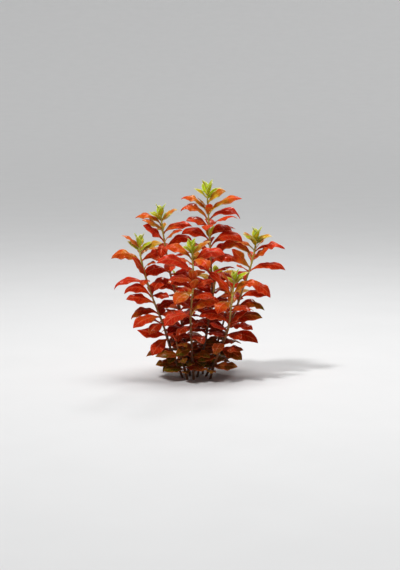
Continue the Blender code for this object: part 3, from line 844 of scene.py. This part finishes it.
@dataclass(frozen=True)
class StemTissue:
    """Fleshy stem of an aquatic plant: smooth waxy skin, faint lengthwise ribs, paler where young."""

    name: str = "stem_skin"
    roughness: float = 0.42
    ior: float = 1.45
    wax: float = 0.15
    wax_roughness: float = 0.3
    ripening: Ripening = (
        (0.0, "#D2D466"),
        (0.25, "#C2A95A"),
        (0.5, "#A2743C"),
        (0.8, "#7E4C26"),
        (1.0, "#5E381C"),
    )

    # Patches of tone, width of a lengthwise rib, its width as a share of its length, its relief
    patch_size: float = 6.0
    patch_drift: float = 0.12
    rib_width: float = 0.5
    rib_shape: float = 0.06
    rib_depth: float = 0.2
    rib_strength: float = 0.4

    def material(self) -> bpy.types.Material:
        """Build the stem's material.

        Returns:
            The material.
        """
        material = bpy.data.materials.new(self.name)
        material.use_nodes = True
        tree = material.node_tree
        tree.nodes.clear()
        place = add_node(tree, "TexCoord").outputs["Object"]
        _, colour = ripened(tree, place, self.patch_size, self.patch_drift, self.ripening)
        long = add_node(tree, "Mapping", {0: place, "Scale": (1.0, 1.0, self.rib_shape)}).outputs[0]
        rib_scale = 1 / (self.rib_width * MM)
        ribs = add_node(tree, "TexNoise", {"Vector": long, "Scale": rib_scale, "Detail": 2.0}).outputs[0]
        dim = add_node(tree, "MapRange", {0: ribs, 1: 0.3, 2: 0.7, 3: 0.75, 4: 1.15}).outputs[0]
        tint = add_node(tree, "HueSaturation", {"Value": dim, "Color": colour}).outputs[0]
        raised = {"Height": ribs, "Strength": self.rib_strength, "Distance": self.rib_depth * MM}
        bump = add_node(tree, "Bump", raised).outputs[0]
        surface = add_node(
            tree,
            "BsdfPrincipled",
            {
                "Base Color": tint,
                "Normal": bump,
                "Roughness": self.roughness,
                "IOR": self.ior,
                "Coat Weight": self.wax,
                "Coat Roughness": self.wax_roughness,
            },
        )
        add_node(tree, "OutputMaterial", {0: surface.outputs[0]})
        return material


@dataclass
class StemSkin:
    """A smooth round stem drawn out ring by ring, a little thicker at each node of leaves."""

    sides: int = 12
    ring_step: float = 3.0
    swelling: float = 0.22
    swelling_reach: float = 1.6
    bud_radius: float = 0.35
    smooth_angle: float = 60.0

    # Ripeness by the depth below the tip and by the height above the foot, of which the riper holds
    by_depth: tuple[tuple[float, ...], ...] = ((0.0, 25.0, 60.0, 110.0, 170.0), (0.0, 0.10, 0.35, 0.75, 1.0))
    by_height: tuple[tuple[float, ...], ...] = ((0.0, 50.0, 90.0), (1.0, 0.7, 0.0))

    def model(self, line: np.ndarray, nodes: list[float], name: str) -> bpy.types.Object:
        """Model one stem.

        Args:
            line: the middles of the solid's rings, with the bud's place last.
            nodes: heights at which leaves grow.
            name: the new object's name.

        Returns:
            The stem's object, with its ripeness stored in its mesh.
        """
        levels = line[:, 2]
        top = levels[-1]
        heights = np.linspace(0.0, top, round(top / self.ring_step) + 1)
        middles = read_curve(levels, line, np.gradient(line, levels, axis=0), heights)
        radii = [self.radius(height, top, nodes) for height in heights]
        deselect_all()
        bpy.ops.mesh.primitive_circle_add(
            vertices=self.sides, radius=radii[0] * MM, fill_type="NGON", location=Vector(middles[0]) * MM
        )
        stem = bpy.context.object
        stem.name = name
        stem.data.name = name
        bpy.ops.object.transform_apply(location=True, rotation=True, scale=True)
        bpy.ops.object.mode_set(mode="EDIT")
        bpy.ops.mesh.select_all(action="SELECT")
        for ring in range(1, len(heights)):
            step = Vector(middles[ring] - middles[ring - 1]) * MM
            bpy.ops.mesh.extrude_region_move(TRANSFORM_OT_translate={"value": step})
            grow = radii[ring] / radii[ring - 1]
            centre = Vector(middles[ring]) * MM
            bpy.ops.transform.resize(value=(grow, grow, 1.0), center_override=centre)
        bpy.ops.object.mode_set(mode="OBJECT")
        bpy.ops.object.shade_smooth()
        bpy.ops.object.shade_smooth_by_angle(angle=math.radians(self.smooth_angle))
        face_outwards(stem)
        store = stem.data.attributes.new("ripeness", "FLOAT", "POINT")
        placed = np.array([point.co.z / MM for point in stem.data.vertices])
        ripeness = np.maximum(np.interp(top - placed, *self.by_depth), np.interp(placed, *self.by_height))
        store.data.foreach_set("value", ripeness.astype(np.float32))
        return stem

    def radius(self, height: float, top: float, nodes: list[float]) -> float:
        """Work out the stem's radius: an even taper, swollen nodes, drawn in at the bud.

        Args:
            height: the height to work it out at.
            top: height of the bud.
            nodes: heights at which leaves grow.

        Returns:
            The radius.
        """
        plain = FOOT_RADIUS + (TIP_RADIUS - FOOT_RADIUS) * min(height / (top - BUD_HEIGHT), 1.0)
        near = min((abs(height - node) for node in nodes), default=top)
        swollen = plain * (1.0 + self.swelling * math.exp(-((near / self.swelling_reach) ** 2)))
        drawn_in = max(0.0, (height - (top - BUD_HEIGHT)) / BUD_HEIGHT)
        return swollen + (self.bud_radius - swollen) * drawn_in


@dataclass
class Finishes:
    """The materials of the plant, made once."""

    leaves: dict[Slot, bpy.types.Material] = field(default_factory=dict)
    stem: bpy.types.Material | None = None

    def make(self) -> None:
        """Make one leaf tissue for each slot, and the stem's skin."""
        for slot in Slot:
            kind = "inner" if slot is Slot.STEM else slot.value.removeprefix("leaf_")
            self.leaves[slot] = LeafTissue("leaf_tissue_" + kind).material()
        self.stem = StemTissue().material()

    def dress(self, piece: bpy.types.Object, material: bpy.types.Material) -> None:
        """Give a piece its material and let it ride on the plant's one body.

        Args:
            piece: the finished piece.
            material: its material.
        """
        piece.data.materials.clear()
        piece.data.materials.append(material)
        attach(piece, "root")


# Ripeness at the stalk and at the tip, pinkness and shade of the grown leaves of each slot
GROWN_TONES = {
    Slot.TAN: (0.15, 0.50, 0.0, 0.0),
    Slot.ORANGE: (0.24, 0.52, 0.0, 0.0),
    Slot.PINK: (0.36, 0.60, 0.42, 0.0),
    Slot.RED: (0.38, 0.66, 0.08, 0.0),
    Slot.DEEP: (0.46, 0.72, 0.0, 0.06),
    Slot.BROWN: (0.66, 0.92, 0.0, 0.04),
}

# How far each kind of leaf's stalk runs on into its stem
SUNK = {LeafKind.GROWN: 1.8, LeafKind.INNER: 0.8, LeafKind.YOUNG: 0.6}

# How much wider than its solid a leaf is laid, because the solid's few corners cut its outline short
WIDENING = 1.04
YOUNG_WIDENING = {YoungPart.CROWN: 1.2, YoungPart.AXILS: 1.7}

# Least ripeness of a crown by its shoot's height, because low shoots stand in shade, and how much
# riper its lowest leaf is than its tip
CROWN_RIPENESS = ((48, 84, 102), (0.72, 0.20, 0.0))
CROWN_RIPENING = 0.10

# Ripeness of inner leaves by their depth below the tip, after the shoot's own value at the tip
# itself, and by their height above the foot, of which the riper holds
DEPTHS = (0, 13, 22, 34, 50, 90)
DEPTH_RIPENESS = (0.26, 0.34, 0.46, 0.55, 0.66)
HEIGHT_RIPENESS = ((8, 40, 75), (0.98, 0.86, 0.0))

# Shade on inner and on long outer leaves by their height above the foot
INNER_SHADE = ((10, 60, 110), (0.22, 0.22, 0.06))
OUTER_SHADE = ((20, 90), (0.20, 0.0))


@dataclass
class Shoot:
    """One shoot: its stem, the crown at its tip, the inner leaves and the long outer leaves.

    Its top is the height of its stem's last full ring, and its seed starts its random draws. Small
    leaves within the crown's reach of the top are the crown, and short ones below it sit in axils.
    """

    name: str
    top: float
    seed: int
    bud_ripeness: float = 0.42
    upper_ripeness: float = 0.22
    crown_reach: float = 13.0
    crown_leaf_length: float = 18.0
    bud_leaf_length: float = 15.0
    draw: np.random.Generator = field(init=False)

    def __post_init__(self) -> None:
        """Start the shoot's own random draws."""
        self.draw = np.random.default_rng(self.seed)

    def grow(self, forms: dict[LeafKind, bpy.types.Object], finishes: Finishes) -> list[bpy.types.Object]:
        """Build and dress every piece of the shoot.

        Args:
            forms: the flat leaf forms.
            finishes: the plant's materials.

        Returns:
            The pieces.
        """
        solid = SolidReader(frame["nodes"][f"stem_{self.name}"])
        small = solid.leaves(sections=2)
        is_high = [leaf.height > self.top - self.crown_reach for leaf in small]
        crown = [leaf for leaf, high in zip(small, is_high) if high and leaf.length < self.crown_leaf_length]
        buds = [leaf for leaf, high in zip(small, is_high) if not high and leaf.length < self.bud_leaf_length]
        inner = [leaf for leaf in small if not any(leaf is other for other in crown + buds)]
        outer = self.outer_lines()
        log.info("%s: %d crown, %d inner, %d outer", self.name, len(crown), len(inner), len(outer))
        node_heights = [leaf.height for leaf in inner] + [leaf.height for _, _, leaf in outer]
        stem = StemSkin().model(solid.stem_line(self.top), node_heights, f"{self.name}_stem")
        finishes.dress(stem, finishes.stem)
        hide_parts(f"stem_{self.name}")
        pieces = [stem]
        if crown:
            least = float(np.interp(self.top, *CROWN_RIPENESS))
            below = [(self.top - leaf.height) / self.crown_reach for leaf in crown]
            ages = [max(CROWN_RIPENING * share, least) for share in below]
            pieces.append(self.build_young(forms[LeafKind.YOUNG], crown, ages, YoungPart.CROWN, finishes))
        if buds:
            ages = [self.bud_ripeness] * len(buds)
            pieces.append(self.build_young(forms[LeafKind.YOUNG], buds, ages, YoungPart.AXILS, finishes))
        if inner:
            pieces.append(self.build_inner(forms[LeafKind.INNER], inner, finishes))
        pieces += self.build_outer(forms[LeafKind.GROWN], outer, finishes)
        return pieces

    def outer_lines(self) -> list[tuple[str, Slot, LeafLine]]:
        """Read the long outer leaves of this shoot.

        Returns:
            Each leaf's node, slot and line.
        """
        slots = {row["node"]: Slot(row["material_slot"]) for row in frame["record"]["subparts"]}
        start = f"leaf_{self.name}_"
        names = sorted(n for n in frame["nodes"] if n.startswith(start) and n[len(start) :].isdigit())
        return [(n, slots[n], SolidReader(frame["nodes"][n]).leaves(sections=4)[0]) for n in names]

    def build_young(
        self,
        form: bpy.types.Object,
        lines: list[LeafLine],
        ages: list[float],
        part: YoungPart,
        finishes: Finishes,
    ) -> bpy.types.Object:
        """Build young leaves: the rosette round the tip, or the small ones in the axils.

        Args:
            form: the flat young leaf.
            lines: where the leaves run.
            ages: each leaf's ripeness.
            part: where on the shoot they are.
            finishes: the plant's materials.

        Returns:
            The leaves as one object.
        """
        leaves = []
        for i, (line, age) in enumerate(zip(lines, ages)):
            ripe = age + self.draw.uniform(-0.03, 0.03)
            habit = Habit(
                wave=0.35,
                wave_count=1.6,
                wave_turn=self.draw.uniform(0, WHOLE_TURN),
                fold=16.0,
                curl=-self.draw.uniform(0.0, 0.8),
                widening=YOUNG_WIDENING[part],
                ripe_at_stalk=ripe,
                ripe_at_tip=ripe - 0.04,
            )
            leaves.append(lay_leaf(form, line, habit, f"{self.name}_{part.value}_{i}", SUNK[LeafKind.YOUNG]))
        young = joined(leaves, f"{self.name}_{part.value}")
        finishes.dress(young, finishes.leaves[Slot.STEM])
        return young

    def build_inner(
        self, form: bpy.types.Object, lines: list[LeafLine], finishes: Finishes
    ) -> bpy.types.Object:
        """Build the smaller leaves along the stem.

        Args:
            form: the flat inner leaf.
            lines: where the leaves run.
            finishes: the plant's materials.

        Returns:
            The leaves as one object.
        """
        leaves = []
        for i, line in enumerate(lines):
            ripe = self.ripeness(line.height)
            habit = Habit(
                wave=self.draw.uniform(0.5, 1.1) * min(line.half_width / FULL_WAVE_WIDTH, 1.0),
                wave_count=self.draw.uniform(1.8, 2.8),
                wave_turn=self.draw.uniform(0, WHOLE_TURN),
                ruffle=self.draw.uniform(0.15, 0.4),
                ruffle_count=self.draw.uniform(3.5, 5.0),
                fold=self.draw.uniform(-18, -2),
                twist=self.draw.uniform(-22, 22),
                curl=self.draw.uniform(-0.5, 1.8),
                sway=self.draw.uniform(-0.8, 0.8),
                widening=WIDENING,
                ripe_at_stalk=ripe - 0.10,
                ripe_at_tip=ripe + 0.06,
                pink=max(0.0, self.draw.uniform(-0.35, 0.4)),
                shade=float(np.interp(line.height, *INNER_SHADE)) + self.draw.uniform(0, 0.15),
            )
            leaves.append(lay_leaf(form, line, habit, f"{self.name}_inner_{i}", SUNK[LeafKind.INNER]))
        inner = joined(leaves, f"{self.name}_inner_leaves")
        finishes.dress(inner, finishes.leaves[Slot.STEM])
        return inner

    def build_outer(
        self, form: bpy.types.Object, lines: list[tuple[str, Slot, LeafLine]], finishes: Finishes
    ) -> list[bpy.types.Object]:
        """Build each long outer leaf as a piece of its own, in place of its solid.

        Args:
            form: the flat grown leaf.
            lines: each leaf's node, slot and line.
            finishes: the plant's materials.

        Returns:
            The leaves.
        """
        pieces = []
        for node, slot, line in lines:
            at_stalk, at_tip, pink, shade = GROWN_TONES[slot]
            shift = self.draw.uniform(-0.04, 0.04)
            habit = Habit(
                wave=self.draw.uniform(1.1, 1.9),
                wave_count=self.draw.uniform(1.5, 2.5),
                wave_turn=self.draw.uniform(0, WHOLE_TURN),
                ruffle=self.draw.uniform(0.2, 0.6),
                ruffle_count=self.draw.uniform(3.5, 6.0),
                fold=self.draw.uniform(-26, -4),
                twist=self.draw.uniform(-22, 22),
                curl=self.draw.uniform(-1.2, 3.0),
                sway=self.draw.uniform(-1.6, 1.6),
                widening=WIDENING,
                ripe_at_stalk=at_stalk + shift,
                ripe_at_tip=at_tip + shift,
                pink=pink,
                shade=shade + float(np.interp(line.height, *OUTER_SHADE)),
            )
            leaf = lay_leaf(form, line, habit, "blade_" + node.removeprefix("leaf_"), SUNK[LeafKind.GROWN])
            finishes.dress(leaf, finishes.leaves[slot])
            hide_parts(node)
            pieces.append(leaf)
        return pieces

    def ripeness(self, height: float) -> float:
        """Work out an inner leaf's ripeness from how far it is below the tip and how low it is.

        Args:
            height: the height of the leaf's foot.

        Returns:
            The ripeness, with a little chance in it.
        """
        ripe = float(np.interp(self.top - height, DEPTHS, (self.upper_ripeness, *DEPTH_RIPENESS)))
        low = float(np.interp(height, *HEIGHT_RIPENESS))
        return min(max(ripe, low) + self.draw.uniform(-0.07, 0.07), 1.0)


# Every shoot, from the tall one in the middle outwards, with the low ones and those behind last
SHOOTS = (
    Shoot("tall", 198.5, seed=100, bud_ripeness=0.10),
    Shoot("upper_left", 174.5, seed=101),
    Shoot("far_left", 145.0, seed=102),
    Shoot("front", 144.0, seed=103),
    Shoot("right", 151.0, seed=104, upper_ripeness=0.04),
    Shoot("low_right", 113.0, seed=105),
    Shoot("back", 106.0, seed=106),
    Shoot("back_left", 102.0, seed=107),
    Shoot("back_right", 84.0, seed=108),
    Shoot("low_left", 48.0, seed=109),
)


class LampKind(Enum):
    """The kinds of light in the studio."""

    EVEN = "SUN"
    SQUARE = "AREA"


@dataclass(frozen=True)
class Lamp:
    """One soft light: where it stands and how strong it is.

    The size is the square's side in metres, or the angle in degrees that the even light fills. The
    power is in watts, or for the even light in watts a square metre.
    """

    name: str
    kind: LampKind
    place: tuple[float, float, float]
    size: float
    power: float

    def add(self, target: Vector) -> None:
        """Add the light and aim it.

        Args:
            target: the point that it shines at.
        """
        deselect_all()
        bpy.ops.object.light_add(type=self.kind.value, location=self.place)
        light = bpy.context.object
        light.name = self.name
        if self.kind is LampKind.EVEN:
            light.data.angle = math.radians(self.size)
        else:
            light.data.size = self.size
        light.data.energy = self.power
        light.rotation_euler = (target - Vector(self.place)).to_track_quat("-Z", "Y").to_euler()


@dataclass
class Studio:
    """Pale floor with a rising rim, soft light, even sky and the camera, in metres.

    A pixel is the width that one picture point shows at the plant, and the picture's height is in
    points. The lens and the sensor are in millimetres.
    """

    pixel: float = 0.001055
    picture_height: int = 570
    elevation: float = 8.0
    lens: float = 85.0
    sensor: float = 36.0
    target: tuple[float, float, float] = (0.0032, 0.0, 0.099)
    look: str = "Medium High Contrast"
    sky_tint: str = "#E6E8EA"
    sky_strength: float = 0.16

    # Matt paper: soft grey clouds about 80 mm across, between two near levels of linear grey
    paper_scale: float = 12.0
    paper_levels: tuple[float, float] = (0.67, 0.70)
    paper_roughness: float = 0.9
    floor_sides: int = 96
    floor_radius: float = 6.0

    # The rising rim of the floor: rings by their radius and height
    rim: tuple[tuple[float, float], ...] = (
        (6.8, 0.03), (7.6, 0.11), (8.4, 0.24), (9.2, 0.42), (10.0, 0.65), (11.0, 1.00),
        (12.0, 1.42), (13.0, 1.90), (14.0, 2.44), (15.0, 3.04), (16.0, 3.70), (17.0, 4.42),
    )
    lamps: tuple[Lamp, ...] = (
        Lamp("key", LampKind.EVEN, (-0.55, -0.45, 1.25), 7.0, 1.5),
        Lamp("rim", LampKind.EVEN, (0.25, 0.80, 0.90), 8.0, 0.4),
        Lamp("top", LampKind.SQUARE, (0.1, 0.10, 1.2), 0.5, 7.5),
    )

    def build(self) -> None:
        """Build the floor, the lights, the sky and the camera, and set how the picture is developed."""
        self.add_floor()
        for lamp in self.lamps:
            lamp.add(Vector(self.target))
        self.add_sky()
        self.add_camera()
        view = bpy.context.scene.view_settings
        view.view_transform = "Standard"
        view.look = self.look

    def add_floor(self) -> None:
        """Add a pale floor far larger than the plant, whose rim rises gently all round."""
        deselect_all()
        bpy.ops.mesh.primitive_circle_add(
            vertices=self.floor_sides, radius=self.floor_radius, fill_type="NGON"
        )
        floor = bpy.context.object
        floor.name = "floor"
        bpy.ops.object.mode_set(mode="EDIT")
        bpy.ops.mesh.select_all(action="DESELECT")
        bpy.ops.mesh.select_mode(type="EDGE")
        bpy.ops.mesh.select_all(action="SELECT")
        radius, height = self.floor_radius, 0.0
        for next_radius, next_height in self.rim:
            step = (0.0, 0.0, next_height - height)
            bpy.ops.mesh.extrude_edges_move(TRANSFORM_OT_translate={"value": step})
            grow = next_radius / radius
            bpy.ops.transform.resize(value=(grow, grow, 1.0), center_override=(0.0, 0.0, 0.0))
            radius, height = next_radius, next_height
        bpy.ops.object.mode_set(mode="OBJECT")
        bpy.ops.object.shade_smooth()
        floor.data.materials.append(self.paper())

    def paper(self) -> bpy.types.Material:
        """Build the floor's pale matt paper.

        Returns:
            The material.
        """
        material = bpy.data.materials.new("pale_matt_paper")
        material.use_nodes = True
        tree = material.node_tree
        place = add_node(tree, "TexCoord").outputs["Object"]
        clouds = add_node(tree, "TexNoise", {"Vector": place, "Scale": self.paper_scale, "Detail": 2.0})
        darkest, palest = self.paper_levels
        grey = add_node(tree, "MapRange", {0: clouds.outputs[0], 3: darkest, 4: palest}).outputs[0]
        tint = add_node(tree, "CombineColor", {0: grey, 1: grey, 2: grey}).outputs[0]
        surface = tree.nodes["Principled BSDF"]
        surface.inputs["Roughness"].default_value = self.paper_roughness
        tree.links.new(tint, surface.inputs["Base Color"])
        return material

    def add_sky(self) -> None:
        """Add an even pale sky."""
        world = bpy.data.worlds.new("sky")
        world.use_nodes = True
        sky = world.node_tree.nodes["Background"]
        sky.inputs["Color"].default_value = linear(self.sky_tint)
        sky.inputs["Strength"].default_value = self.sky_strength
        bpy.context.scene.world = world

    def add_camera(self) -> None:
        """Add the camera at the photograph's viewing angle and scale."""
        deselect_all()
        tall = self.pixel * self.picture_height
        distance = tall * self.lens / self.sensor
        tilt = math.radians(self.elevation)
        target = Vector(self.target)
        place = target + distance * Vector((0.0, -math.cos(tilt), math.sin(tilt)))
        bpy.ops.object.camera_add(location=place)
        camera = bpy.context.object
        camera.data.lens = self.lens
        camera.data.sensor_width = self.sensor
        camera.rotation_euler = (target - place).to_track_quat("-Z", "Y").to_euler()
        bpy.context.scene.camera = camera


# Outlines of the leaf forms: the width, as a share of the full width, at shares of the length
GROWN_OUTLINE = (
    (0.0, 0.13), (0.1, 0.15), (0.2, 0.34), (0.34, 0.74), (0.48, 0.96),
    (0.6, 1.0), (0.72, 0.9), (0.84, 0.62), (0.94, 0.26), (1.0, 0.0),
)
INNER_OUTLINE = (
    (0.0, 0.16), (0.1, 0.22), (0.24, 0.60), (0.42, 0.96), (0.55, 1.0),
    (0.7, 0.88), (0.84, 0.58), (0.94, 0.24), (1.0, 0.0),
)
YOUNG_OUTLINE = (
    (0.0, 0.30), (0.14, 0.52), (0.3, 0.88), (0.46, 1.0),
    (0.62, 0.94), (0.78, 0.68), (0.9, 0.34), (1.0, 0.0),
)


def leaf_forms() -> dict[LeafKind, bpy.types.Object]:
    """Model the three leaf forms.

    Returns:
        The flat leaves.
    """
    return {
        LeafKind.GROWN: LeafForm("grown_form", 30, 10, GROWN_OUTLINE).model(),
        LeafKind.INNER: LeafForm("inner_form", 20, 8, INNER_OUTLINE).model(),
        LeafKind.YOUNG: LeafForm("young_form", 16, 8, YOUNG_OUTLINE, stalk_thickness=0.6).model(),
    }


def main() -> None:
    """Build the plant shoot by shoot, then the studio round it."""
    logging.basicConfig(level=logging.INFO, format="%(message)s")
    forms = leaf_forms()
    finishes = Finishes()
    finishes.make()
    for shoot in SHOOTS:
        for piece in shoot.grow(forms, finishes):
            log.info("  %s: %d faces", piece.name, len(piece.data.polygons))
    for form in forms.values():
        bpy.data.objects.remove(form, do_unlink=True)
    Studio().build()


if __name__ == "__main__":
    main()
